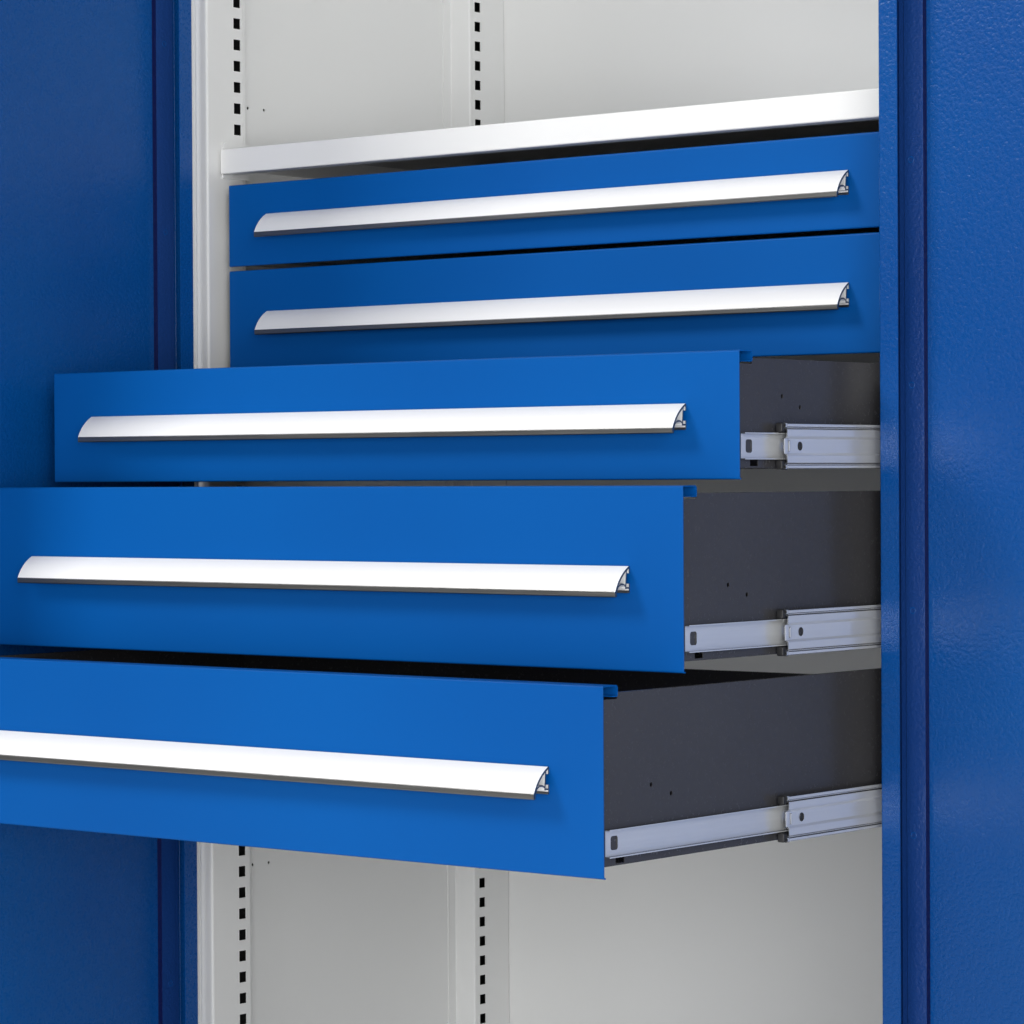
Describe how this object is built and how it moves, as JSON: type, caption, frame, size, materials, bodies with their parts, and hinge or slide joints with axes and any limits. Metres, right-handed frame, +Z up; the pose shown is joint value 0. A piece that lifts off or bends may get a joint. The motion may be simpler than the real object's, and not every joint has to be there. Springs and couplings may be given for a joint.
{
  "type": "workshop drawer cupboard",
  "caption": "Tall sheet-metal workshop cupboard with two pivoting doors, a shelf and a bank of drawers on telescopic ball slides, drawn with the lower drawers pulled out.",
  "frame": {"origin": "on the floor, at the middle of the carcass's width and depth", "axes": "+X to the right seen from the front, +Y from the front to the back, +Z up"},
  "size_m": [1.5096, 1.0992, 1.95],
  "materials": {
    "carcass_paint": "fine-textured light grey powder coat",
    "shelf_paint": "smooth off-white powder coat",
    "door_paint": "orange-peel blue powder coat",
    "front_paint": "smooth blue powder coat",
    "box_paint": "glossy anthracite powder coat",
    "handle_metal": "satin, with a white front",
    "zinc": "bright zinc plate",
    "ball_steel": "polished",
    "bush_plastic": "moulded",
    "lock_metal": "satin chrome",
    "lever_plastic": "moulded"
  },
  "bodies": {
    "carcass": {"side_panel_left": "carcass_paint", "side_panel_right": "carcass_paint", "front_upright_left": "carcass_paint", "front_upright_right": "carcass_paint", "rear_upright_left": "carcass_paint", "rear_upright_right": "carcass_paint", "back_panel": "carcass_paint", "top_panel": "carcass_paint", "base_panel": "carcass_paint", "shelf": "shelf_paint", "shelf_brackets": "carcass_paint", "door_pivot_brackets": "zinc", "door_pivot_pins": "zinc", "rod_strike_plates": "zinc", "slide_cabinet_members_left": "zinc", "slide_cabinet_members_right": "zinc"},
    "door_left": {"door_left_panel": "door_paint", "door_left_stiffeners": "door_paint", "door_left_closing_strip": "door_paint", "door_left_bushes": "bush_plastic"},
    "door_right": {"door_right_panel": "door_paint", "door_right_stiffeners": "door_paint", "door_right_bushes": "bush_plastic", "lock_plate": "lever_plastic", "rod_guides": "zinc"},
    "lock_turn": {"lock_handle": "lever_plastic", "lock_cylinder": "lock_metal", "lock_cam": "zinc"},
    "rod_upper": {"lock_rod_upper": "zinc"},
    "rod_lower": {"lock_rod_lower": "zinc"},
    "slide_mid_1": {"middle_slides_1": "zinc", "ball_cages_1": "ball_steel"},
    "drawer_1": {"drawer_front_1": "front_paint", "drawer_box_1": "box_paint", "drawer_handle_1": "handle_metal", "drawer_slides_1": "zinc"},
    "slide_mid_2": {"middle_slides_2": "zinc", "ball_cages_2": "ball_steel"},
    "drawer_2": {"drawer_front_2": "front_paint", "drawer_box_2": "box_paint", "drawer_handle_2": "handle_metal", "drawer_slides_2": "zinc"},
    "slide_mid_3": {"middle_slides_3": "zinc", "ball_cages_3": "ball_steel"},
    "drawer_3": {"drawer_front_3": "front_paint", "drawer_box_3": "box_paint", "drawer_handle_3": "handle_metal", "drawer_slides_3": "zinc"},
    "slide_mid_4": {"middle_slides_4": "zinc", "ball_cages_4": "ball_steel"},
    "drawer_4": {"drawer_front_4": "front_paint", "drawer_box_4": "box_paint", "drawer_handle_4": "handle_metal", "drawer_slides_4": "zinc"},
    "slide_mid_5": {"middle_slides_5": "zinc", "ball_cages_5": "ball_steel"},
    "drawer_5": {"drawer_front_5": "front_paint", "drawer_box_5": "box_paint", "drawer_handle_5": "handle_metal", "drawer_slides_5": "zinc"}
  },
  "joints": [
    {"name": "door_left_hinge", "type": "hinge", "parent": "carcass", "child": "door_left", "pos_m": [-0.4993, -0.3144, 0.0455], "axis": [0, 0, -1], "range_deg": [0, 90]},
    {"name": "door_right_hinge", "type": "hinge", "parent": "carcass", "child": "door_right", "pos_m": [0.4993, -0.3144, 0.0455], "axis": [0, 0, -1], "range_deg": [0, 90]},
    {"name": "lock_turn", "type": "hinge", "parent": "door_right", "child": "lock_turn", "pos_m": [0.9521, -0.3288, 1], "axis": [0, -1, 0], "range_deg": [0, 90]},
    {"name": "rod_upper_slide", "type": "slide", "parent": "door_right", "child": "rod_upper", "axis": [0, 0, 1], "range_m": [0, 0.0199]},
    {"name": "rod_lower_slide", "type": "slide", "parent": "door_right", "child": "rod_lower", "axis": [0, 0, -1], "range_m": [0, 0.0199]},
    {"name": "slide_1_middle", "type": "slide", "parent": "carcass", "child": "slide_mid_1", "axis": [0, -1, 0], "range_m": [0, 0.225]},
    {"name": "drawer_1_slide", "type": "slide", "parent": "slide_mid_1", "child": "drawer_1", "axis": [0, -1, 0], "range_m": [0, 0.275]},
    {"name": "slide_2_middle", "type": "slide", "parent": "carcass", "child": "slide_mid_2", "axis": [0, -1, 0], "range_m": [0, 0.225]},
    {"name": "drawer_2_slide", "type": "slide", "parent": "slide_mid_2", "child": "drawer_2", "axis": [0, -1, 0], "range_m": [0, 0.275]},
    {"name": "slide_3_middle", "type": "slide", "parent": "carcass", "child": "slide_mid_3", "axis": [0, -1, 0], "range_m": [-0.225, 0]},
    {"name": "drawer_3_slide", "type": "slide", "parent": "slide_mid_3", "child": "drawer_3", "axis": [0, -1, 0], "range_m": [-0.053, 0.222]},
    {"name": "slide_4_middle", "type": "slide", "parent": "carcass", "child": "slide_mid_4", "axis": [0, -1, 0], "range_m": [-0.225, 0]},
    {"name": "drawer_4_slide", "type": "slide", "parent": "slide_mid_4", "child": "drawer_4", "axis": [0, -1, 0], "range_m": [-0.142, 0.133]},
    {"name": "slide_5_middle", "type": "slide", "parent": "carcass", "child": "slide_mid_5", "axis": [0, -1, 0], "range_m": [-0.225, 0]},
    {"name": "drawer_5_slide", "type": "slide", "parent": "slide_mid_5", "child": "drawer_5", "axis": [0, -1, 0], "range_m": [-0.262, 0.013]}
  ],
  "couplings": [
    {"joint": "rod_upper_slide", "follows": "lock_turn", "m_per_rad": 0.0126},
    {"joint": "rod_lower_slide", "follows": "lock_turn", "m_per_rad": 0.0126}
  ]
}
